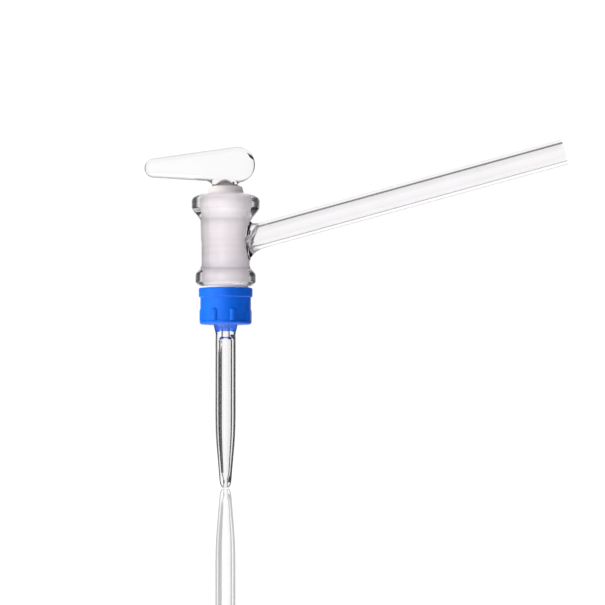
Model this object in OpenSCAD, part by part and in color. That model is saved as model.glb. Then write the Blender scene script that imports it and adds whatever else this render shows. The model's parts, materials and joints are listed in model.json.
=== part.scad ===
// Laboratory stopcock: a glass barrel with a slanting inlet tube, a ground glass plug that
// turns in it by a paddle handle and lets the liquid out through its own jet, and a plastic
// nut that draws the plug down on a washer and an O-ring.
// Millimetres. Z runs up the barrel's axis, the inlet tube lies in the XZ plane and rises
// towards +X, and the origin is the centre of the jet's mouth.

/* [Ground joint] */
// Diameter of the ground joint at the barrel's top, which names the joint's size
joint_d = 14.8; // [14:0.1:15]
// Gap between the plug and the barrel all round
joint_gap = 0.03; // [0.02:0.01:0.08]
// Diameter of the drilled way through the barrel's wall and the plug
way_d = 2.5; // [1.5:0.1:3]

/* [Barrel] */
// Height of the barrel's lower end above the jet's mouth
barrel_z = 82.9; // [80:0.1:86]
// Height of the barrel
barrel_h = 38.5; // [38:0.1:41]
// Diameter of the thickened upper rim
top_rim_d = 28.2; // [26:0.1:29]
// Diameter of the thickened lower rim
low_rim_d = 25; // [24:0.1:26]
// Diameter of the wall just under the upper rim
wall_top_d = 21; // [20:0.1:22]
// Diameter of the wall just over the lower rim
wall_low_d = 20; // [19:0.1:20.4]

/* [Inlet tube] */
// Outside diameter of the inlet tube
inlet_d = 10.6; // [9:0.1:11]
// Wall thickness of the inlet tube
inlet_wall = 1.6; // [1:0.1:2]
// Slope of the inlet tube above the horizontal, in degrees
inlet_slope = 15.4; // [10:0.2:20]
// Length of the inlet tube, measured along it from the barrel's axis
inlet_reach = 145; // [80:1:160]
// Height at which the inlet tube's axis meets the barrel's axis
inlet_z = 99.9; // [99:0.1:102]

/* [Jet] */
// Outside diameter of the delivery tube
jet_d = 8.4; // [8:0.1:8.8]
// Bore of the delivery tube
jet_bore_d = 4.5; // [3:0.1:5]
// Diameter of the jet's mouth
mouth_d = 1.3; // [1:0.1:1.5]
// Height over which the delivery tube narrows to its mouth
jet_taper_h = 23; // [20:0.5:26]

/* [Handle] */
// Thickness of the paddle handle
handle_t = 7; // [5:0.1:8]
// Radius of the handle's broad end
broad_r = 7.4; // [7:0.1:8]
// Radius of the handle's narrow end
narrow_r = 4; // [3.5:0.1:5]
// Distance between the centres of the handle's two round ends
handle_span = 34.2; // [28:0.1:38]

/* [Retaining nut] */
// Height of the nut
nut_h = 15.1; // [14.5:0.1:15.5]
// Diameter of the nut's plain upper band
nut_band_d = 22.2; // [21.8:0.1:23]
// Diameter of the nut's body under the band
nut_body_d = 20.9; // [20.5:0.1:21.2]
// Number of grip ribs round the nut
rib_count = 8; // [6:1:12]
// Outside diameter of the plug's threaded end
thread_d = 10; // [9.6:0.1:10.2]
// Thickness of the slip washer
washer_t = 0.6; // [0.5:0.1:0.8]
// Section diameter of the O-ring
oring_d = 2.2; // [2:0.1:2.3]

/* [Hidden] */
$fn = 96;

arc_steps = 5;                 // flats in each rounded corner of a turned outline
joint_taper = 1 / 50;          // change of the joint's radius for each millimetre of height
over = 1;                      // how far a cutter runs past the face it leaves by

// Barrel
barrel_top = barrel_z + barrel_h;
rim_slope_h = 4.4;             // height of the cone that joins the upper rim to the wall
low_slope_h = 2.7;             // height of the cone that joins the lower rim to the wall
mould_step_z = inlet_z + 1.8;  // height of the moulding step round the wall
mould_step = 0.15;             // depth of that step

// Inlet tube, measured along its own axis
inlet_r = inlet_d / 2;
inlet_bore_r = inlet_r - inlet_wall;
neck_end = 13;                 // where the tube's bore starts to close towards the barrel
neck_start = 9.6;              // where it has closed to the drilled way
flare_start = 6;               // inside the barrel's wall
flare_end = 22;                // where the flare has run out into the tube
flare_r = 7.6;                 // radius of the flare at its start

// Plug
plug_top = barrel_top + 2.8;   // top of the plug's ground cone
shoulder_r = 1.6;              // rounding of the plug's top
cone_low = barrel_z + 0.9;      // lower end of the plug's ground cone, inside the barrel
stem_r = 5.2;                  // radius of the plug between its cone and its thread
handle_z = plug_top + 8.9;     // height of the broad end's centre
broad_x = 4.7;                 // the broad end's centre, to the side of the axis
handle_drop = 1.4;             // how far the narrow end's centre lies below the broad end's
handle_edge_r = 2.2;           // rounding of the handle's rim
neck_r = 4.9;                  // radius of the neck between the plug and its handle
thread_top = barrel_z - 3.5;   // upper end of the threaded stretch
thread_end = barrel_z - 16.3;  // lower end of the threaded stretch
jet_top = 63.6;                // where the delivery tube runs out into the threaded end
mouth_l = 3.5;                 // length of the narrow bore at the mouth
mouth_rim_r = 1.7;             // outside radius of the mouth's flat rim

// Nut and its rings
face_gap = 0.05;               // play between faces that turn on each other
washer_z = barrel_z - face_gap - washer_t;
nut_top = washer_z - face_gap;
nut_z = nut_top - nut_h;
washer_bore_r = 5.55;
washer_r = 9.4;
nut_bore_r = thread_d / 2 + 0.06;
seat_r = 7.8;                  // radius of the O-ring's seat in the nut
seat_h = oring_d + 0.1;        // depth of that seat
oring_r = nut_bore_r + 0.14 + oring_d / 2;  // radius of the O-ring's centre line
band_h = 3.8;
rib_w = 2.5;
rib_h = 6;
rib_r = nut_band_d / 2 - 0.2;  // how far the ribs stand from the axis
foot_h = 1.5;                  // height of the nut's foot, below the ribs
foot_r = rib_r + 0.1;

// Radius of the ground joint at height z.
function joint_r(z) = joint_d / 2 - (barrel_top - z) * joint_taper;

function unit(v) = v / norm(v);

// Points of the arc of radius r that rounds corner b between its neighbours a and c.
function corner(a, b, c, r) =
    let (u = unit(a - b), v = unit(c - b), half = acos(u * v) / 2,
         centre = b + unit(u + v) * r / sin(half),
         start = b + u * r / tan(half) - centre,
         end = b + v * r / tan(half) - centre,
         turn = 180 - 2 * half)
    [for (i = [0 : arc_steps]) let (k = i / arc_steps)
        centre + (sin((1 - k) * turn) * start + sin(k * turn) * end) / sin(turn)];

// An outline from [x, y, rounding] points: a rounding of 0 keeps the corner sharp.
function outline(pts) =
    let (n = len(pts), xy = [for (p = pts) [p[0], p[1]]])
    [for (i = [0 : n - 1])
        each (pts[i][2] == 0 ? [xy[i]]
            : corner(xy[(i + n - 1) % n], xy[i], xy[(i + 1) % n], pts[i][2]))];

// A solid turned about Z from [radius, height, rounding] points.
module turned(pts) {
    rotate_extrude() polygon(outline(pts));
}

// Puts its children along the inlet tube: their Z runs out along the tube's axis.
module along_inlet() {
    translate([0, 0, inlet_z]) rotate([0, 90 - inlet_slope, 0]) children();
}

// The barrel's outside, with its two thickened rims and the moulding step in its wall.
module barrel_outside() {
    top_r = top_rim_d / 2;
    low_r = low_rim_d / 2;
    wall_low = wall_low_d / 2;
    wall_top = wall_top_d / 2;
    low_slope_top = barrel_z + 7.8;
    top_slope_low = barrel_top - 11;
    wall_mid = (wall_low + wall_top) / 2;
    turned([
        [0, barrel_z, 0],
        [low_r - 1.7, barrel_z, 0.8],
        [low_r, barrel_z + 1.6, 1],
        [low_r, low_slope_top - low_slope_h, 1.2],
        [wall_low, low_slope_top, 2],
        [wall_mid - mould_step, mould_step_z, 0],
        [wall_mid, mould_step_z + mould_step, 0],
        [wall_top, top_slope_low, 2],
        [top_r, top_slope_low + rim_slope_h, 1.2],
        [top_r, barrel_top - 2.4, 1.6],
        [top_r - 2.4, barrel_top - 0.9, 1],
        [joint_d / 2 + 0.8, barrel_top, 0.4],
        [0, barrel_top, 0],
    ]);
}

// The inlet tube's outside, flared where it is fused to the barrel.
module inlet_outside() {
    cylinder(r = inlet_r, h = inlet_reach);
    turned([
        [0, flare_start, 0],
        [flare_r, flare_start, 0],
        [inlet_r + 0.5, neck_end, 14],
        [inlet_r, flare_end, 0],
        [0, flare_end, 0],
    ]);
}

// The tube's bore, which closes to the drilled way where it meets the barrel.
module inlet_bore() {
    translate([0, 0, neck_end]) cylinder(r = inlet_bore_r, h = inlet_reach);
    translate([0, 0, neck_start])
        cylinder(r1 = way_d / 2, r2 = inlet_bore_r, h = neck_end - neck_start);
    cylinder(d = way_d, h = neck_end);
}

// The conical hole that the plug is ground into.
module joint_hole() {
    low = barrel_z - over;
    high = barrel_top + over;
    translate([0, 0, low]) cylinder(r1 = joint_r(low), r2 = joint_r(high), h = high - low);
}

module barrel() {
    color("whitesmoke", 0.5)
    difference() {
        union() {
            barrel_outside();
            along_inlet() inlet_outside();
        }
        joint_hole();
        along_inlet() inlet_bore();
    }
}

// The plug's turned body: jet, threaded end, ground cone and rounded shoulder.
module plug_body() {
    turned([
        [0, 0, 0],
        [mouth_rim_r, 0, 0],
        [2.3, 1.4, 1.2],
        [jet_d / 2, jet_taper_h, 26],
        [jet_d / 2, jet_top, 3],
        [thread_d / 2, thread_end, 1],
        [thread_d / 2, thread_top, 0],
        [stem_r, nut_top, 0],
        [stem_r, cone_low - 0.5, 0],
        [joint_r(cone_low) - joint_gap, cone_low, 0],
        [joint_r(plug_top) - joint_gap, plug_top, shoulder_r],
        [neck_r, plug_top, 0],
        [neck_r, plug_top + 4.5, 3],
        [0, plug_top + 5.5, 0],
    ]);
}

// One round end of the handle, a disc with a rounded rim, lying across Y.
module handle_end(r) {
    rotate([90, 0, 0])
        rotate_extrude($fn = 32)
            polygon(outline([
                [0, -handle_t / 2, 0],
                [r, -handle_t / 2, handle_edge_r],
                [r, handle_t / 2, handle_edge_r],
                [0, handle_t / 2, 0],
            ]));
}

module handle() {
    hull() {
        translate([broad_x, 0, handle_z]) handle_end(broad_r);
        translate([broad_x - handle_span, 0, handle_z - handle_drop]) handle_end(narrow_r);
    }
}

// The liquid's way through the plug: in from the side, then down the axis to the mouth.
module plug_ways() {
    bore_r = jet_bore_d / 2;
    way_r = way_d / 2;
    shoulder_z = jet_top - 2.6;
    turned([
        [0, -over, 0],
        [mouth_d / 2, -over, 0],
        [mouth_d / 2, mouth_l, 0],
        [1.3, mouth_l + 2, 0],
        [bore_r, jet_taper_h, 0],
        [bore_r, shoulder_z, 0],
        [way_r, shoulder_z + 1.8, 0],
        [way_r, inlet_z + 1.5, 0],
        [0, inlet_z + 2.2, 0],
    ]);
    along_inlet() cylinder(r = way_r - 0.05, h = joint_d);
}

module plug() {
    color("white", 0.5)
    difference() {
        union() {
            plug_body();
            handle();
        }
        plug_ways();
    }
}

// The slip washer that the barrel's lower end turns on.
module washer() {
    color("white")
    translate([0, 0, washer_z])
        difference() {
            cylinder(r = washer_r, h = washer_t);
            translate([0, 0, -over]) cylinder(r = washer_bore_r, h = washer_t + 2 * over);
        }
}

// The rubber ring that keeps the nut's pull springy.
module o_ring() {
    color([0.12, 0.12, 0.12])
    translate([0, 0, washer_z - oring_d / 2])
        rotate_extrude() translate([oring_r, 0]) circle(d = oring_d);
}

// One grip rib: an upright half-round bar with a rounded top.
module rib() {
    translate([rib_r - rib_w / 2, 0, 0]) {
        cylinder(d = rib_w, h = rib_h - rib_w / 2);
        translate([0, 0, rib_h - rib_w / 2]) sphere(d = rib_w);
    }
}

module nut() {
    color("royalblue")
    difference() {
        union() {
            turned([
                [0, nut_z, 0],
                [foot_r - 0.6, nut_z, 0],
                [foot_r, nut_z + 0.6, 0],
                [foot_r, nut_z + foot_h, 0],
                [nut_body_d / 2, nut_z + foot_h, 0],
                [nut_body_d / 2, nut_top - band_h, 0],
                [nut_band_d / 2, nut_top - band_h, 0],
                [nut_band_d / 2, nut_top, 1],
                [0, nut_top, 0],
            ]);
            for (i = [0 : rib_count - 1])
                rotate([0, 0, (i + 0.42) * 360 / rib_count])
                    translate([0, 0, nut_z + foot_h / 2]) rib();
        }
        translate([0, 0, nut_z - over]) cylinder(r = nut_bore_r, h = nut_h + 2 * over);
        translate([0, 0, nut_top - seat_h]) cylinder(r = seat_r, h = seat_h + over);
    }
}

barrel();
plug();
washer();
o_ring();
nut();
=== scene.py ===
"""Glass stopcock: the barrel with its inlet tube, the ground plug with its handle and jet,
the retaining nut with its washer and O-ring, and the plain studio that they stand in."""

import json
import math

import bmesh
import bpy
from bpy.props import FloatProperty, FloatVectorProperty, IntProperty, PointerProperty
from bpy.types import Operator, Panel, PropertyGroup
from mathutils import Matrix, Vector


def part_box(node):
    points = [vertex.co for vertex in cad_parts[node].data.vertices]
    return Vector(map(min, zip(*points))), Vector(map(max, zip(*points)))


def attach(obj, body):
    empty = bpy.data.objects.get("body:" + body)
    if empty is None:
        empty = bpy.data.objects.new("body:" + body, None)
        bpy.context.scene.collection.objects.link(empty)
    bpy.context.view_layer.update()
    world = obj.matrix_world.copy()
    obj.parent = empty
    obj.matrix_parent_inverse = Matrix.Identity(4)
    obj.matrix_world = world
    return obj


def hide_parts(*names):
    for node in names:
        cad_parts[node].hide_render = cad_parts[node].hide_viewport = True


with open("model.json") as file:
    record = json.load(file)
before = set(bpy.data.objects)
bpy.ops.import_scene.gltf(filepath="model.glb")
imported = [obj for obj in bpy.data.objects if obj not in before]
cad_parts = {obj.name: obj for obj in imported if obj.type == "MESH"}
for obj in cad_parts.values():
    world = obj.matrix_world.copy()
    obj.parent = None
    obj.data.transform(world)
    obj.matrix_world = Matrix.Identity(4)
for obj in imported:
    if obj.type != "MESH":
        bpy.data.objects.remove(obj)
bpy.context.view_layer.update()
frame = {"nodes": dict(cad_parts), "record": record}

bl_info = {
    "name": "Glass stopcock",
    "version": (1, 0, 0),
    "blender": (4, 5, 0),
    "location": "3D View > Sidebar > Stopcock",
    "description": "Models a laboratory glass stopcock around its packed frame",
    "category": "Add Mesh",
}

MM = 0.001
ROUND = 2 * math.pi
MOUNTS = {mount["name"]: mount for mount in frame["record"]["mounts"]}
BARREL_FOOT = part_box("washer")[1].z + 0.05 * MM
NUT_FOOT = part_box("nut")[0].z
NUT_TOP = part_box("nut")[1].z
NUT_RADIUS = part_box("nut")[1].x
HANDLE_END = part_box("plug")[0].x
HANDLE_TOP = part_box("plug")[1].z
INLET_DIRECTION = Vector(MOUNTS["inlet_tube"]["axis"]).normalized()
INLET_POINT = Vector(MOUNTS["inlet_tube"]["pos_m"])
# The inlet tube's axis meets the plug's axis here.
INLET_ROOT = INLET_POINT - INLET_DIRECTION * (INLET_POINT.x / INLET_DIRECTION.x)
GLASS_IOR = 1.473
WHITE = (1, 1, 1, 1)
# Noise seldom strays outside these two values, so what follows it runs between them.
NOISE_LOW, NOISE_HIGH = 0.3, 0.7
# A map range node's sockets: from low, from high, to low, to high.
RANGE_SOCKETS = (1, 2, 3, 4)


# ---------------------------------------------------------------- sizes and colours


class StopcockSizes(PropertyGroup):
    """Sizes of the glass and of the retaining nut"""

    joint_d: FloatProperty(
        name="Joint diameter", description="Ground joint's diameter at the barrel's rim",
        default=14.8 * MM, min=0.014, max=0.015, unit="LENGTH")
    joint_taper: FloatProperty(
        name="Joint taper", description="Change of the joint's radius with height",
        default=0.02, min=0.01, max=0.05)
    joint_gap: FloatProperty(
        name="Joint gap", description="Gap between the plug and the barrel",
        default=0.03 * MM, min=0.00001, max=0.0001, unit="LENGTH")
    barrel_h: FloatProperty(
        name="Barrel height", description="Height of the barrel",
        default=38.5 * MM, min=0.037, max=0.041, unit="LENGTH")
    top_rim_d: FloatProperty(
        name="Upper rim diameter", description="Diameter of the thickened upper rim",
        default=28.2 * MM, min=0.024, max=0.029, unit="LENGTH")
    low_rim_d: FloatProperty(
        name="Lower rim diameter", description="Diameter of the thickened lower rim",
        default=25 * MM, min=0.022, max=0.026, unit="LENGTH")
    wall_top_d: FloatProperty(
        name="Upper wall diameter", description="Barrel's diameter under the upper rim",
        default=21 * MM, min=0.019, max=0.023, unit="LENGTH")
    wall_low_d: FloatProperty(
        name="Lower wall diameter", description="Barrel's diameter over the lower rim",
        default=20 * MM, min=0.019, max=0.022, unit="LENGTH")
    inlet_d: FloatProperty(
        name="Inlet tube diameter", description="Outside diameter of the inlet tube",
        default=2 * MOUNTS["inlet_tube"]["dims"]["r_mm"] * MM, min=0.009, max=0.011,
        unit="LENGTH")
    inlet_bore_d: FloatProperty(
        name="Inlet bore", description="Inside diameter of the inlet tube",
        default=2 * MOUNTS["inlet_bore"]["dims"]["r_mm"] * MM, min=0.005, max=0.008,
        unit="LENGTH")
    inlet_reach: FloatProperty(
        name="Inlet reach", description="Inlet tube's length from the plug's axis",
        default=145 * MM, min=0.08, max=0.16, unit="LENGTH")
    way_d: FloatProperty(
        name="Drilled way", description="Diameter of the way through the plug",
        default=2.5 * MM, min=0.0015, max=0.003, unit="LENGTH")
    jet_d: FloatProperty(
        name="Delivery tube diameter", description="Outside diameter of the delivery tube",
        default=2 * MOUNTS["delivery_tube"]["dims"]["r_mm"] * MM, min=0.008, max=0.009,
        unit="LENGTH")
    jet_bore_d: FloatProperty(
        name="Delivery tube bore", description="Inside diameter of the delivery tube",
        default=4.5 * MM, min=0.003, max=0.005, unit="LENGTH")
    mouth_d: FloatProperty(
        name="Jet's mouth", description="Diameter of the jet's mouth",
        default=2 * MOUNTS["jet_mouth"]["dims"]["r_mm"] * MM, min=0.001, max=0.0015,
        unit="LENGTH")
    handle_t: FloatProperty(
        name="Handle thickness", description="Thickness of the paddle handle",
        default=7 * MM, min=0.005, max=0.008, unit="LENGTH")
    rib_count: IntProperty(
        name="Grip ribs", description="Number of grip ribs round the nut",
        default=8, min=6, max=12)
    facets: IntProperty(
        name="Facets round", description="Facets round each turned piece of glass",
        default=128, min=32, max=256)


class StopcockFinishes(PropertyGroup):
    """Colours of the pieces and of the studio"""

    glass: FloatVectorProperty(
        name="Clear glass", description="Tint of the clear glass",
        default=(0.99, 0.98, 0.988), min=0, max=1, subtype="COLOR")
    ground: FloatVectorProperty(
        name="Ground glass", description="Tint of the ground surfaces",
        default=(0.985, 0.92, 0.955), min=0, max=1, subtype="COLOR")
    nut: FloatVectorProperty(
        name="Nut", description="Colour of the moulded nut",
        default=(0.003, 0.135, 0.8), min=0, max=1, subtype="COLOR")
    washer: FloatVectorProperty(
        name="Washer", description="Colour of the slip washer",
        default=(0.9, 0.9, 0.9), min=0, max=1, subtype="COLOR")
    rubber: FloatVectorProperty(
        name="O-ring", description="Colour of the rubber ring",
        default=(0.02, 0.02, 0.022), min=0, max=1, subtype="COLOR")
    floor: FloatVectorProperty(
        name="Floor", description="Colour of the studio's floor",
        default=(0.9, 0.9, 0.9), min=0, max=1, subtype="COLOR")


# ---------------------------------------------------------------- shaping


def finished(name, bm):
    """Make an object at the origin from bm, which is then freed."""
    mesh = bpy.data.meshes.new(name)
    bm.to_mesh(mesh)
    bm.free()
    piece = bpy.data.objects.new(name, mesh)
    bpy.context.scene.collection.objects.link(piece)
    return piece


def draw_outline(bm, points):
    """Draw a chain through (radius, height, softening) points, in millimetres.

    A corner's softening is how far back from the corner its arc begins."""
    corners = [bm.verts.new((r * MM, 0, z * MM)) for r, z, _ in points]
    for pair in zip(corners, corners[1:]):
        bm.edges.new(pair)
    for corner, (_, _, softening) in zip(corners, points):
        if softening:
            bmesh.ops.bevel(bm, geom=[corner], offset=softening * MM, segments=6,
                            profile=0.5, affect="VERTICES", material=-1)


def turn_outline(points, facets):
    """Turn an outline that starts and ends on the axis into a closed solid about Z."""
    bm = bmesh.new()
    draw_outline(bm, points)
    bmesh.ops.spin(bm, geom=bm.verts[:] + bm.edges[:], cent=(0, 0, 0), axis=(0, 0, 1),
                   angle=ROUND, steps=facets, use_merge=True)
    bmesh.ops.remove_doubles(bm, verts=bm.verts, dist=0.0005 * MM)
    bmesh.ops.recalc_face_normals(bm, faces=bm.faces)
    return bm


def combine(base, other, operation):
    """Join other to base, or cut it away, and remove other."""
    mod = base.modifiers.new(operation.title(), "BOOLEAN")
    mod.operation = operation
    mod.solver = "EXACT"
    mod.object = other
    evaluated = base.evaluated_get(bpy.context.evaluated_depsgraph_get())
    mesh = bpy.data.meshes.new_from_object(evaluated)
    base.modifiers.clear()
    spent = base.data
    base.data = mesh
    bpy.data.meshes.remove(spent)
    bpy.data.objects.remove(other)


def tidy_mesh(piece, sharp_deg):
    """Close up slivers, point the faces outwards and shade smooth up to an angle."""
    bm = bmesh.new()
    bm.from_mesh(piece.data)
    bmesh.ops.remove_doubles(bm, verts=bm.verts, dist=0.002 * MM)
    bmesh.ops.dissolve_degenerate(bm, dist=0.001 * MM, edges=bm.edges)
    bmesh.ops.recalc_face_normals(bm, faces=bm.faces)
    for face in bm.faces:
        face.smooth = True
    bm.to_mesh(piece.data)
    bm.free()
    piece.data.set_sharp_from_angle(angle=math.radians(sharp_deg))


def extrude_ring(bm, edges):
    """Extrude a ring of edges, and return the new ring's edges and vertices."""
    made = bmesh.ops.extrude_edge_only(bm, edges=edges)["geom"]
    verts = [g for g in made if isinstance(g, bmesh.types.BMVert)]
    fresh = set(verts)
    ring = [g for g in made if isinstance(g, bmesh.types.BMEdge)
            and fresh.issuperset(g.verts)]
    return ring, verts


def dress(piece, *materials):
    """Give the piece these materials and no others."""
    piece.data.materials.clear()
    for material in materials:
        piece.data.materials.append(material)


def aim(thing, target):
    """Turn a lamp or a camera to face the target."""
    sight = Vector(target) - thing.location
    thing.rotation_euler = sight.to_track_quat("-Z", "Y").to_euler()


def set_range(node, from_low, from_high, to_low, to_high):
    """Set what a map range node reads and what it gives."""
    for index, value in zip(RANGE_SOCKETS, (from_low, from_high, to_low, to_high)):
        node.inputs[index].default_value = value


def joint_radius(sizes, z):
    """Radius of the ground joint at height z, both in millimetres."""
    rim = (BARREL_FOOT + sizes.barrel_h) / MM
    return sizes.joint_d / MM / 2 - (rim - z) * sizes.joint_taper


def inlet_place():
    """Matrix that takes Z out along the inlet tube, from the plug's axis."""
    turn = INLET_DIRECTION.to_track_quat("Z", "X").to_matrix().to_4x4()
    return Matrix.Translation(INLET_ROOT) @ turn


def grind(piece, sizes, low, high):
    """Give the faces that lie on the ground cone the piece's second material."""
    rim = (BARREL_FOOT + sizes.barrel_h) / MM
    for face in piece.data.polygons:
        z = face.center.z / MM
        r = math.hypot(face.center.x, face.center.y) / MM
        # Above the rim the plug's shoulder draws in from the cone, and is ground all the same.
        tolerance = 0.12 if z < rim else 0.9
        if low < z < high and abs(r - joint_radius(sizes, z)) < tolerance:
            face.material_index = 1


# ---------------------------------------------------------------- finishes


class Finish:
    """A node material being built: nodes by type, and links by socket name."""

    def __init__(self, name):
        self.material = bpy.data.materials.new(name)
        self.material.use_nodes = True
        self.tree = self.material.node_tree
        self.shader = self.tree.nodes["Principled BSDF"]
        coords = self.node("ShaderNodeTexCoord")
        self.place = coords.outputs["Object"]

    def node(self, kind, **inputs):
        made = self.tree.nodes.new(kind)
        for name, value in inputs.items():
            made.inputs[name.replace("_", " ")].default_value = value
        return made

    def link(self, source, target):
        self.tree.links.new(source, target)

    def set(self, **values):
        for name, value in values.items():
            self.shader.inputs[name.replace("_", " ")].default_value = value

    def noise(self, scale, detail=3.0, roughness=0.55, around=1.0):
        """Noise, drawn out into rings about Z where around is less than 1."""
        made = self.node("ShaderNodeTexNoise", Scale=scale, Detail=detail, Roughness=roughness)
        spread = self.node("ShaderNodeMapping", Scale=(around, around, 1))
        self.link(self.place, spread.inputs["Vector"])
        self.link(spread.outputs["Vector"], made.inputs["Vector"])
        return made.outputs["Fac"]

    def between(self, factor, low, high):
        """A value that runs from low to high over the noise's usual range."""
        made = self.node("ShaderNodeMapRange")
        set_range(made, NOISE_LOW, NOISE_HIGH, low, high)
        self.link(factor, made.inputs["Value"])
        return made.outputs["Result"]

    def shades(self, factor, dark, light):
        """A colour that runs from dark to light with factor."""
        ramp = self.node("ShaderNodeValToRGB")
        ramp.color_ramp.elements[0].color = (*dark, 1)
        ramp.color_ramp.elements[0].position = NOISE_LOW
        ramp.color_ramp.elements[1].color = (*light, 1)
        ramp.color_ramp.elements[1].position = NOISE_HIGH
        self.link(factor, ramp.inputs["Fac"])
        self.link(ramp.outputs["Color"], self.shader.inputs["Base Color"])

    def band(self, value, ends, shades):
        """Paint shade into the colour: darken or lighten it by a factor that changes as value
        passes ends.
        """
        spread = self.node("ShaderNodeMapRange")
        spread.interpolation_type = "SMOOTHSTEP"
        set_range(spread, *ends, *shades)
        self.link(value, spread.inputs["Value"])
        scale = self.node("ShaderNodeVectorMath")
        scale.operation = "SCALE"
        colour = self.shader.inputs["Base Color"]
        self.link(colour.links[0].from_socket, scale.inputs[0])
        self.link(spread.outputs["Result"], scale.inputs["Scale"])
        self.link(scale.outputs["Vector"], colour)

    def bump(self, height, strength, distance):
        made = self.node("ShaderNodeBump", Strength=strength, Distance=distance)
        self.link(height, made.inputs["Height"])
        self.link(made.outputs["Normal"], self.shader.inputs["Normal"])


def tint(colour, factor):
    """The colour made darker or lighter, held within range."""
    return tuple(min(1.0, part * factor) for part in colour)


def clear_glass(name, colour):
    """Drawn laboratory glass: clear, with a trace of unevenness along the surface."""
    finish = Finish(name)
    finish.set(IOR=GLASS_IOR, Transmission_Weight=1.0, Specular_IOR_Level=0.5)
    uneven = finish.noise(90, 2)
    finish.shades(uneven, tint(colour, 0.985), tint(colour, 1.01))
    finish.link(finish.between(finish.noise(900), 0.0, 0.02), finish.shader.inputs["Roughness"])
    finish.bump(uneven, 0.03, 0.0002)
    return finish.material


def ground_glass(name, colour, barrel_h):
    """The frosted surface of a ground joint: rough, pale and finely grained, with shade painted
    into its colour behind the barrel's thick rims.
    """
    finish = Finish(name)
    finish.set(IOR=GLASS_IOR, Transmission_Weight=0.1, Specular_IOR_Level=0.2)
    rings = finish.noise(420, 4, around=0.03)
    finish.shades(rings, tint(colour, 0.92), tint(colour, 1.03))
    height = finish.node("ShaderNodeSeparateXYZ")
    finish.link(finish.place, height.inputs["Vector"])
    foot, rim = BARREL_FOOT, BARREL_FOOT + barrel_h
    # Painted shade: the colour is darkened at the heights behind the barrel's two thick rims,
    # where the surface looks darker.
    for ends, shades in (((foot + 6.0 * MM, foot + 7.4 * MM), (0.74, 1)),
                         ((rim - 9.6 * MM, rim - 7.6 * MM), (1, 0.84))):
        finish.band(height.outputs["Z"], ends, shades)
    finish.link(finish.between(finish.noise(2500, 2), 0.5, 0.68),
                finish.shader.inputs["Roughness"])
    finish.bump(finish.noise(6000, 2), 0.15, 0.0001)
    return finish.material


def moulded_plastic(name, colour):
    """The nut's coloured plastic: satin, with a faint mottle from the mould."""
    finish = Finish(name)
    finish.set(IOR=1.46, Specular_IOR_Level=0.3, Subsurface_Weight=0.06,
               Subsurface_Scale=0.0015)
    mottle = finish.noise(320, 4)
    finish.shades(mottle, tint(colour, 0.9), tint(colour, 1.06))
    finish.link(finish.between(finish.noise(1400), 0.3, 0.42), finish.shader.inputs["Roughness"])
    finish.bump(finish.noise(2600, 3), 0.12, 0.0001)
    return finish.material


def waxy_plastic(name, colour):
    """The washer's white plastic: dull, smooth and slightly see-through at the edge."""
    finish = Finish(name)
    finish.set(IOR=1.35, Specular_IOR_Level=0.3, Subsurface_Weight=0.25,
               Subsurface_Scale=0.001)
    finish.shades(finish.noise(500, 3), tint(colour, 0.96), tint(colour, 1.03))
    finish.link(finish.between(finish.noise(1200), 0.45, 0.6), finish.shader.inputs["Roughness"])
    return finish.material


def ring_rubber(name, colour):
    """The O-ring's black rubber."""
    finish = Finish(name)
    finish.set(IOR=1.5, Specular_IOR_Level=0.35)
    finish.shades(finish.noise(700, 3), tint(colour, 0.8), tint(colour, 1.4))
    finish.link(finish.between(finish.noise(1800), 0.55, 0.75), finish.shader.inputs["Roughness"])
    finish.bump(finish.noise(3000, 2), 0.2, 0.0001)
    return finish.material


# ---------------------------------------------------------------- glass


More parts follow.
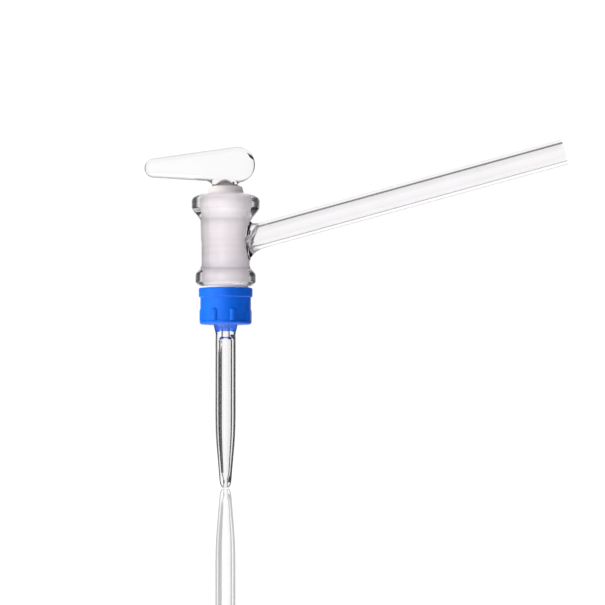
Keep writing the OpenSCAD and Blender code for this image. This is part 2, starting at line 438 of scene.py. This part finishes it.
class STOPCOCK_OT_barrel(Operator):
    """Model the glass barrel with the inlet tube that is fused to it"""

    bl_idname = "stopcock.barrel"
    bl_label = "Barrel and inlet tube"

    def execute(self, context):
        sizes = context.scene.stopcock_sizes
        finishes = context.scene.stopcock_finishes
        foot = BARREL_FOOT / MM
        rim = foot + sizes.barrel_h / MM
        top_r, low_r = sizes.top_rim_d / MM / 2, sizes.low_rim_d / MM / 2
        wall_top, wall_low = sizes.wall_top_d / MM / 2, sizes.wall_low_d / MM / 2
        mid_r = (wall_top + wall_low) / 2
        step_z = INLET_ROOT.z / MM + 1.8
        outside = [
            (0, foot, 0),
            (low_r - 1.7, foot, 0.6),
            (low_r, foot + 1.6, 0.6),
            (low_r, foot + 5.1, 0.9),
            (wall_low, foot + 7.8, 1.1),
            (mid_r - 0.15, step_z, 0),
            (mid_r, step_z + 0.25, 0),
            (wall_top, rim - 11, 0.9),
            (top_r, rim - 6.6, 1.0),
            (top_r, rim - 2.2, 1.3),
            (top_r - 2.6, rim - 0.8, 0.9),
            (sizes.joint_d / MM / 2 + 0.7, rim, 0.3),
            (0, rim, 0),
        ]
        piece = finished("barrel_glass", turn_outline(outside, sizes.facets))
        wall = (foot + 7.8, wall_low), (rim - 11, wall_top)
        combine(piece, finished("inlet", self.inlet_outside(sizes, wall)), "UNION")
        bore = turn_outline([
            (0, foot - 1, 0), (joint_radius(sizes, foot - 1), foot - 1, 0),
            (joint_radius(sizes, rim + 1), rim + 1, 0), (0, rim + 1, 0)], sizes.facets)
        combine(piece, finished("bore", bore), "DIFFERENCE")
        combine(piece, finished("inlet_bore", self.inlet_bore(sizes)), "DIFFERENCE")
        tidy_mesh(piece, 32)
        dress(piece, clear_glass("barrel_clear", finishes.glass),
              ground_glass("barrel_ground", finishes.ground, sizes.barrel_h))
        grind(piece, sizes, foot + 0.02, rim - 0.02)
        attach(piece, "barrel")
        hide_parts("barrel")
        return {"FINISHED"}

    @staticmethod
    def inlet_outside(sizes, wall):
        """The inlet tube's outside, which flares on to the barrel's wall all round."""
        radius = sizes.inlet_d / 2
        steps = 12
        bm = bmesh.new()
        end = inlet_place() @ Matrix.Translation((0, 0, sizes.inlet_reach))
        ring = bmesh.ops.create_circle(bm, cap_ends=True, radius=radius, matrix=end,
                                       segments=sizes.facets * 3 // 4)["verts"]
        edges = bm.edges[:]
        up = INLET_DIRECTION.cross(Vector((0, 1, 0))).normalized()

        def spoke_of(vert):
            """Direction from the tube's axis to the vertex."""
            arm = vert.co - INLET_ROOT
            return (arm - INLET_DIRECTION * arm.dot(INLET_DIRECTION)).normalized()

        def wall_radius(z):
            """Radius of the barrel's wall at height z, which widens towards the upper rim."""
            (z0, r0), (z1, r1) = wall
            share = (z / MM - z0) / (z1 - z0)
            if share > 1:
                return (r1 + (share - 1) * (z1 - z0) * 0.8) * MM
            return (r0 + (r1 - r0) * max(share, 0)) * MM

        def flare(spoke):
            """The three points that the flare's curve follows at this spoke, and the
            direction in which it goes into the wall."""
            foot = INLET_ROOT + spoke * radius
            reach = wall_radius(foot.z + 3 * MM)
            run = (math.sqrt(reach ** 2 - foot.y ** 2) - foot.x) / INLET_DIRECTION.x
            corner = foot + INLET_DIRECTION * run
            lean = 0.5 + 0.5 * spoke.dot(up)  # 0 under the tube and 1 on top of it
            start = corner + INLET_DIRECTION * (8.0 - 4.0 * lean) * MM
            spread = corner + spoke * (5.2 - 3.0 * lean ** 2) * MM
            flat = Vector((spread.x, spread.y, 0)).normalized()
            skin = wall_radius(spread.z) - 0.12 * MM
            return start, corner, flat * skin + Vector((0, 0, spread.z)), flat

        paths = {vert: flare(spoke_of(vert)) for vert in ring}
        for step in range(steps + 2):
            edges, new_verts = extrude_ring(bm, edges)
            moved = {}
            for vert in new_verts:
                parent = next(e.other_vert(vert) for e in vert.link_edges
                              if e.other_vert(vert) in paths)
                moved[vert] = paths[parent]
            for vert, (start, corner, landing, flat) in moved.items():
                t = min(step / steps, 1)
                vert.co = start * (1 - t) ** 2 + corner * 2 * t * (1 - t) + landing * t * t
                if step > steps:  # the last ring lies inside the barrel's glass
                    vert.co = landing - flat * 1.5 * MM
            paths = moved
        bmesh.ops.contextual_create(bm, geom=edges)
        bmesh.ops.recalc_face_normals(bm, faces=bm.faces)
        return bm

    @staticmethod
    def inlet_bore(sizes):
        """The inlet's bore, closed by a leaning dome with the drilled way through it."""
        bore, way = sizes.inlet_bore_d / MM / 2, sizes.way_d / MM / 2
        reach = sizes.inlet_reach / MM
        bm = turn_outline([
            (0, 2, 0), (way, 2, 0), (way, 9.7, 0), (way + 0.9, 10.0, 0.3),
            (bore, 11.6, 1.3), (bore, reach + 2, 0), (0, reach + 2, 0)], sizes.facets // 2)
        lean = Matrix.Identity(4)
        lean[2][0] = 0.8
        near = [v for v in bm.verts if 9 * MM < v.co.z < 20 * MM]
        bmesh.ops.transform(bm, matrix=lean, verts=near)
        bmesh.ops.transform(bm, matrix=inlet_place(), verts=bm.verts)
        return bm


class STOPCOCK_OT_plug(Operator):
    """Model the glass plug: handle, ground cone, threaded end, delivery tube and jet"""

    bl_idname = "stopcock.plug"
    bl_label = "Plug with handle and jet"

    def execute(self, context):
        sizes = context.scene.stopcock_sizes
        finishes = context.scene.stopcock_finishes
        foot = BARREL_FOOT / MM
        rim = foot + sizes.barrel_h / MM
        gap = sizes.joint_gap / MM
        top = rim + 2.9
        low = foot + 0.9
        jet = sizes.jet_d / MM / 2
        outside = [
            (0, 0, 0),
            (1.5, 0, 0.4),
            (2.35, 1.7, 0.9),
            (3.85, 19.2, 2.5),
            (jet, 26.5, 4.0),
            (jet, 60.8, 2.0),
            (jet - 0.1, 63.4, 0.8),
            (5.0, 66.7, 0.9),
            (5.0, foot - 3.5, 0),
            (5.2, foot - 0.7, 0),
            (5.2, low - 0.7, 0.2),
            (joint_radius(sizes, low) - gap, low, 0.3),
            (joint_radius(sizes, top - 2.4) - gap, top - 2.4, 0.4),
            (6.75, top, 0.8),
            (4.6, top + 0.2, 0),
            (0, top + 0.2, 0),
        ]
        piece = finished("plug_glass", turn_outline(outside, sizes.facets))
        combine(piece, finished("handle", self.handle(sizes)), "UNION")
        combine(piece, finished("neck", self.neck(top)), "UNION")
        combine(piece, finished("ways", self.ways(sizes)), "DIFFERENCE")
        combine(piece, finished("side_way", self.side_way(sizes)), "DIFFERENCE")
        tidy_mesh(piece, 32)
        dress(piece, clear_glass("plug_clear", finishes.glass),
              ground_glass("plug_ground", finishes.ground, sizes.barrel_h))
        grind(piece, sizes, low + 0.02, top - 0.1)
        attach(piece, "plug")
        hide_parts("plug")
        return {"FINISHED"}

    @staticmethod
    def handle(sizes):
        """The flat paddle: two round ends of different size, joined by straight sides."""
        broad_r, narrow_r, drop, softening = 7.4 * MM, 4 * MM, 1.4 * MM, 3.0 * MM
        narrow = Vector((HANDLE_END + narrow_r, 0, HANDLE_TOP - broad_r - drop))
        broad = Vector((4.7 * MM, 0, HANDLE_TOP - broad_r))
        span = broad - narrow
        tilt = math.atan2(span.z, span.x)
        flank = math.asin((broad_r - narrow_r) / span.length)
        half = sizes.handle_t / 2
        bm = bmesh.new()
        for centre, radius, first, sweep in (
                (narrow, narrow_r, math.pi / 2 + flank, math.pi - 2 * flank),
                (broad, broad_r, -math.pi / 2 - flank, math.pi + 2 * flank)):
            angle = tilt + first
            start = centre + Vector((math.cos(angle), 0, math.sin(angle))) * radius
            seed = bm.verts.new((start.x, -half, start.z))
            bmesh.ops.spin(bm, geom=[seed], cent=(centre.x, -half, centre.z),
                           axis=(0, -1, 0), angle=sweep, steps=28)
        loose = [v for v in bm.verts if len(v.link_edges) == 1]
        loose.sort(key=lambda v: v.co.x)
        narrow_tips, broad_tips = loose[:2], loose[2:]
        for tip in narrow_tips:
            bm.edges.new((tip, min(broad_tips, key=lambda v: abs(v.co.z - tip.co.z))))
        face = bmesh.ops.contextual_create(bm, geom=bm.edges[:])["faces"][0]
        made = bmesh.ops.extrude_face_region(bm, geom=[face])["geom"]
        bmesh.ops.translate(bm, vec=(0, 2 * half, 0),
                            verts=[g for g in made if isinstance(g, bmesh.types.BMVert)])
        bmesh.ops.recalc_face_normals(bm, faces=bm.faces)
        rims = [e for e in bm.edges if abs(e.verts[0].co.y - e.verts[1].co.y) < 0.01 * MM]
        bmesh.ops.bevel(bm, geom=rims, offset=softening, segments=8, profile=0.5,
                        affect="EDGES", material=-1)
        return bm

    @staticmethod
    def neck(top):
        """The flared neck between the plug's top and the handle's underside."""
        bm = bmesh.new()
        foot, rise, steps = top - 0.7, 3.5, 14
        aside = 0.35  # how far the neck stands from the axis, to the handle's side
        start = Matrix.Translation((-aside * MM, 0, foot * MM))
        ring = bmesh.ops.create_circle(bm, cap_ends=True, radius=MM, segments=72, matrix=start)
        edges, verts = bm.edges[:], ring["verts"]
        last_wide = last_deep = 1
        for step in range(steps + 1):
            share = step / steps
            if step:
                edges, verts = extrude_ring(bm, edges)
            wide = 4.9 + 4.5 * share ** 2.5
            deep = 4.9 - 2.3 * share ** 0.8
            bmesh.ops.scale(bm, vec=(wide / last_wide, deep / last_deep, 1), verts=verts,
                            space=Matrix.Translation((aside * MM, 0, 0)))
            last_wide, last_deep = wide, deep
            if step:
                bmesh.ops.translate(bm, vec=(0, 0, rise / steps * MM), verts=verts)
        bmesh.ops.contextual_create(bm, geom=edges)
        bmesh.ops.recalc_face_normals(bm, faces=bm.faces)
        return bm

    @staticmethod
    def ways(sizes):
        """The way down the plug's axis, which widens in the delivery tube."""
        mouth, bore, way = sizes.mouth_d / MM / 2, sizes.jet_bore_d / MM / 2, sizes.way_d / MM / 2
        cross = INLET_ROOT.z / MM
        return turn_outline([
            (0, -1, 0), (mouth, -1, 0), (mouth + 0.05, 3.4, 0.5), (1.25, 5.4, 0.8),
            (2.1, 19.5, 2.5), (bore, 25, 2.5), (bore, 61.0, 0.6), (way + 0.1, 62.1, 0.4),
            (way, 66, 1), (way, cross + 1.5, 0), (0, cross + 2.2, 0)], sizes.facets // 2)

    @staticmethod
    def side_way(sizes):
        """The way in from the plug's side, which lines up with the inlet at rest."""
        way = sizes.way_d / MM / 2 - 0.05
        bm = turn_outline([(0, 0, 0), (way, 0, 0), (way, 14, 0), (0, 14, 0)], sizes.facets // 4)
        bmesh.ops.transform(bm, matrix=inlet_place(), verts=bm.verts)
        return bm


# ---------------------------------------------------------------- retaining set


class STOPCOCK_OT_nut(Operator):
    """Model the moulded nut that draws the plug down"""

    bl_idname = "stopcock.nut"
    bl_label = "Retaining nut"

    def execute(self, context):
        sizes = context.scene.stopcock_sizes
        finishes = context.scene.stopcock_finishes
        low, high = NUT_FOOT / MM, NUT_TOP / MM
        band = NUT_RADIUS / MM
        body, bore, seat = band - 0.65, 5.06, 7.8
        rib = band - 0.2
        outline = [
            (bore, low + 1.6, 0),
            (bore + 2.4, low, 0),
            (rib - 0.75, low, 0.15),
            (rib - 0.15, low + 0.7, 0.2),
            (rib - 0.15, low + 1.35, 0.15),
            (body, low + 1.6, 0.25),
            (body, high - 4.0, 0.2),
            (band, high - 3.75, 0.45),
            (band, high, 0.6),
            (seat + 0.2, high, 0.15),
            (seat, high - 2.3, 0.2),
            (bore, high - 2.3, 0),
            (bore, low + 1.6, 0),
        ]
        piece = finished("nut_moulding", turn_outline(outline, sizes.facets))
        for index in range(sizes.rib_count):
            angle = (index + 0.42) * ROUND / sizes.rib_count
            combine(piece, finished("rib", self.rib(angle, band + 0.1, low)), "UNION")
        tidy_mesh(piece, 30)
        dress(piece, moulded_plastic("nut_plastic", finishes.nut))
        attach(piece, "nut")
        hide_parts("nut")
        return {"FINISHED"}

    @staticmethod
    def rib(angle, reach, low):
        """One grip rib: an upright round bar with a domed top, set into the nut's side."""
        bm = bmesh.new()
        thick, tall = 1.7, 5.4
        place = Matrix.Rotation(angle, 4, "Z") @ Matrix.Translation(
            ((reach - thick) * MM, 0, (low + 1.5 + tall / 2) * MM))
        bmesh.ops.create_cone(bm, cap_ends=True, segments=40, radius1=thick * MM,
                              radius2=thick * MM, depth=tall * MM)
        top = [e for e in bm.edges if all(v.co.z > 0 for v in e.verts)]
        bmesh.ops.bevel(bm, geom=top, offset=1.5 * MM, segments=8, profile=0.5,
                        affect="EDGES", material=-1)
        bmesh.ops.transform(bm, matrix=place, verts=bm.verts)
        bmesh.ops.recalc_face_normals(bm, faces=bm.faces)
        return bm


class STOPCOCK_OT_rings(Operator):
    """Finish the slip washer and the O-ring that sit on the nut"""

    bl_idname = "stopcock.rings"
    bl_label = "Washer and O-ring"

    def execute(self, context):
        finishes = context.scene.stopcock_finishes
        for node, finish in (("washer", waxy_plastic("washer_plastic", finishes.washer)),
                             ("o_ring", ring_rubber("o_ring_rubber", finishes.rubber))):
            dress(frame["nodes"][node], finish)
        return {"FINISHED"}


# ---------------------------------------------------------------- studio


class STOPCOCK_OT_stage(Operator):
    """Set out the floor, the soft light, the dark cards and the camera"""

    bl_idname = "stopcock.stage"
    bl_label = "Studio"

    def execute(self, context):
        finishes = context.scene.stopcock_finishes
        self.floor(finishes)
        self.cards()
        self.surround(context.scene)
        self.key_light()
        self.top_light()
        self.camera(context.scene)
        context.scene.view_settings.view_transform = "Standard"
        return {"FINISHED"}

    @staticmethod
    def floor(finishes):
        """A wide pale floor with a polished surface, just under the jet's mouth."""
        bm = bmesh.new()
        bmesh.ops.create_circle(bm, cap_ends=True, radius=20, segments=64,
                                matrix=Matrix.Translation((0, 0, -0.2 * MM)))
        floor = finished("floor", bm)
        finish = Finish("floor_gloss")
        tree = finish.tree
        tree.nodes.remove(finish.shader)
        gloss = finish.node("ShaderNodeBsdfGlossy", Color=WHITE, Roughness=0.03)
        glow = finish.node("ShaderNodeEmission", Color=(*finishes.floor, 1), Strength=1.3)
        mix = finish.node("ShaderNodeMixShader", Fac=0.6)
        finish.link(glow.outputs[0], mix.inputs[1])
        finish.link(gloss.outputs[0], mix.inputs[2])
        finish.link(mix.outputs[0], tree.nodes["Material Output"].inputs["Surface"])
        floor.data.materials.append(finish.material)
        floor.visible_diffuse = False
        floor.visible_glossy = False
        floor.visible_transmission = False

    @staticmethod
    def cards():
        """Dark cards beside the glass, which only rays that pass through glass can meet."""
        distance = 0.45
        for name, first, last, low, high in (("card_left", -72, -47, 75, 280),
                                             ("card_left_low", -78, -18, 0, 88),
                                             ("card_right", 44, 80, 0, 280)):
            bm = bmesh.new()
            angle = math.radians(90 - first)
            seed = bm.verts.new((distance * math.cos(angle), distance * math.sin(angle), low * MM))
            bmesh.ops.spin(bm, geom=[seed], cent=(0, 0, 0), axis=(0, 0, -1),
                           angle=math.radians(last - first), steps=24)
            made = bmesh.ops.extrude_edge_only(bm, edges=bm.edges[:])["geom"]
            bmesh.ops.translate(bm, vec=(0, 0, (high - low) * MM),
                                verts=[g for g in made if isinstance(g, bmesh.types.BMVert)])
            card = finished(name, bm)
            finish = Finish(name)
            finish.set(Base_Color=(0.01, 0.01, 0.01, 1), Roughness=0.9,
                       Emission_Color=(0.95, 0.85, 1, 1), Emission_Strength=0.012)
            card.data.materials.append(finish.material)
            card.visible_camera = False
            card.visible_diffuse = False
            card.visible_glossy = False
            card.visible_shadow = False

    @staticmethod
    def surround(scene):
        """A white surround that gives each kind of ray its own light."""
        world = bpy.data.worlds.new("studio")
        scene.world = world
        world.use_nodes = True
        tree = world.node_tree
        nodes, links = tree.nodes, tree.links
        nodes.clear()
        coords = nodes.new("ShaderNodeTexCoord")
        direction = coords.outputs["Generated"]

        def toward(vector, low, high, peak):
            """Light that grows from nothing to peak as the direction nears vector."""
            dot = nodes.new("ShaderNodeVectorMath")
            dot.operation = "DOT_PRODUCT"
            dot.inputs[1].default_value = Vector(vector).normalized()
            links.new(direction, dot.inputs[0])
            spread = nodes.new("ShaderNodeMapRange")
            spread.interpolation_type = "SMOOTHSTEP"
            set_range(spread, low, high, 0, peak)
            links.new(dot.outputs["Value"], spread.inputs["Value"])
            return spread.outputs["Result"]

        def total(*values):
            result = values[0]
            for value in values[1:]:
                add = nodes.new("ShaderNodeMath")
                links.new(result, add.inputs[0])
                links.new(value, add.inputs[1])
                result = add.outputs[0]
            return result

        def background(strength):
            made = nodes.new("ShaderNodeBackground")
            made.inputs["Color"].default_value = WHITE
            links.new(strength, made.inputs["Strength"])
            return made.outputs[0]

        def blend(factor, first, second):
            made = nodes.new("ShaderNodeMixShader")
            links.new(factor, made.inputs["Fac"])
            links.new(first, made.inputs[1])
            links.new(second, made.inputs[2])
            return made.outputs[0]

        def at_least(value, least):
            made = nodes.new("ShaderNodeMath")
            made.operation = "MAXIMUM"
            made.inputs[1].default_value = least
            links.new(value, made.inputs[0])
            return made.outputs[0]

        def even(value):
            made = nodes.new("ShaderNodeValue")
            made.outputs[0].default_value = value
            return made.outputs[0]

        path = nodes.new("ShaderNodeLightPath")
        diffuse = total(even(0.13), toward((-0.9, -0.4, 0), 0.25, 0.95, 1.15),
                        toward((0, 0, -1), 0.3, 0.9, 1.4))
        glossy = total(even(0.3), toward((0, 1, 0), 0.0, 0.3, 0.8),
                       toward((1, 0, 0), 0.25, 0.6, -1.05), toward((-1, 0, 0), 0.25, 0.6, -1.05),
                       toward((-0.7, -0.7, 0.1), 0.6, 0.95, 2.0),
                       toward((0, 0, 1), 0.82, 0.95, -0.5),
                       toward((0, 0, -1), 0.5, 0.9, 2.5))
        # What is seen through clear glass, and below it what ground glass gathers through it.
        through = total(even(0.99), toward((1, 0, 0), 0.55, 0.78, -0.96),
                        toward((-1, 0, 0), 0.55, 0.78, -0.96), toward((0, 0, 1), 0.45, 0.8, -0.8),
                        toward((0, 0, -1), 0.5, 0.85, -0.7))
        frost = total(even(1.6), toward((-0.3, -0.95, 0.1), 0.3, 0.85, 1.6),
                      toward((0, 0, 1), 0.1, 0.7, -1.2), toward((0, 0, -1), -0.1, 0.5, -1.4))
        result = blend(path.outputs["Is Diffuse Ray"], background(even(1.02)), background(diffuse))
        result = blend(path.outputs["Is Glossy Ray"], result, background(at_least(glossy, 0.05)))
        # A ray refracted by glass counts as glossy too, so its own light comes last. One that
        # has left a ground surface on its way out lights that surface and isn't seen.
        clear = blend(path.outputs["Diffuse Depth"], background(at_least(through, 0.03)),
                      background(at_least(frost, 0.03)))
        result = blend(path.outputs["Is Transmission Ray"], result, clear)
        out = nodes.new("ShaderNodeOutputWorld")
        links.new(result, out.inputs["Surface"])

    @staticmethod
    def key_light():
        """A soft light at the front left."""
        lamp = bpy.data.lights.new("key", "AREA")
        lamp.shape = "RECTANGLE"
        lamp.size, lamp.size_y = 0.35, 0.6
        lamp.energy = 15
        lamp.color = (1, 1, 0.86)
        key = bpy.data.objects.new("key", lamp)
        key.visible_glossy = False
        key.visible_transmission = False
        key.location = (-1.0, -0.4, 0.05)
        aim(key, (0, 0, 0.09))
        bpy.context.scene.collection.objects.link(key)

    @staticmethod
    def top_light():
        """A narrow light on the plug's shoulder, from the upper right."""
        lamp = bpy.data.lights.new("top", "SPOT")
        lamp.energy = 60
        lamp.spot_size = math.radians(3.2)
        lamp.spot_blend = 0.5
        lamp.shadow_soft_size = 0.06
        top = bpy.data.objects.new("top", lamp)
        top.visible_glossy = False
        top.visible_transmission = False
        top.location = (0.3, -0.35, 0.3)
        aim(top, (0, 0, 0.124))
        bpy.context.scene.collection.objects.link(top)

    @staticmethod
    def camera(scene):
        """A long lens on a level line, square to the inlet tube."""
        centre = Vector((31.7 * MM, 0, 76.2 * MM))
        distance, width, sensor = 1.5, 249.3 * MM, 36
        lens = bpy.data.cameras.new("camera")
        lens.sensor_width = sensor
        lens.lens = sensor * distance / width
        lens.clip_start, lens.clip_end = 0.05, 60
        camera = bpy.data.objects.new("camera", lens)
        camera.location = (centre.x, -distance, 18 * MM)
        aim(camera, centre)
        scene.collection.objects.link(camera)
        scene.camera = camera


# ---------------------------------------------------------------- panel and main


OPERATORS = (STOPCOCK_OT_stage, STOPCOCK_OT_barrel, STOPCOCK_OT_plug, STOPCOCK_OT_nut,
             STOPCOCK_OT_rings)


class VIEW3D_PT_stopcock(Panel):
    """Lists the stopcock's pieces"""

    bl_label = "Glass stopcock"
    bl_idname = "VIEW3D_PT_stopcock"
    bl_space_type = "VIEW_3D"
    bl_region_type = "UI"
    bl_category = "Stopcock"

    def draw(self, context):
        layout = self.layout
        for operator in OPERATORS:
            layout.operator(operator.bl_idname)
        for group in (context.scene.stopcock_sizes, context.scene.stopcock_finishes):
            box = layout.box()
            for name in group.__annotations__:
                box.prop(group, name)


CLASSES = (StopcockSizes, StopcockFinishes) + OPERATORS + (VIEW3D_PT_stopcock,)


def register():
    """Add the classes to Blender and the settings to the scene."""
    for cls in CLASSES:
        bpy.utils.register_class(cls)
    bpy.types.Scene.stopcock_sizes = PointerProperty(type=StopcockSizes)
    bpy.types.Scene.stopcock_finishes = PointerProperty(type=StopcockFinishes)


def unregister():
    """Take the settings and the classes away again."""
    del bpy.types.Scene.stopcock_finishes
    del bpy.types.Scene.stopcock_sizes
    for cls in reversed(CLASSES):
        bpy.utils.unregister_class(cls)


def main():
    """Build the stage and every piece."""
    register()
    bpy.ops.stopcock.stage()
    bpy.ops.stopcock.barrel()
    bpy.ops.stopcock.plug()
    bpy.ops.stopcock.nut()
    bpy.ops.stopcock.rings()


if __name__ == "__main__":
    main()
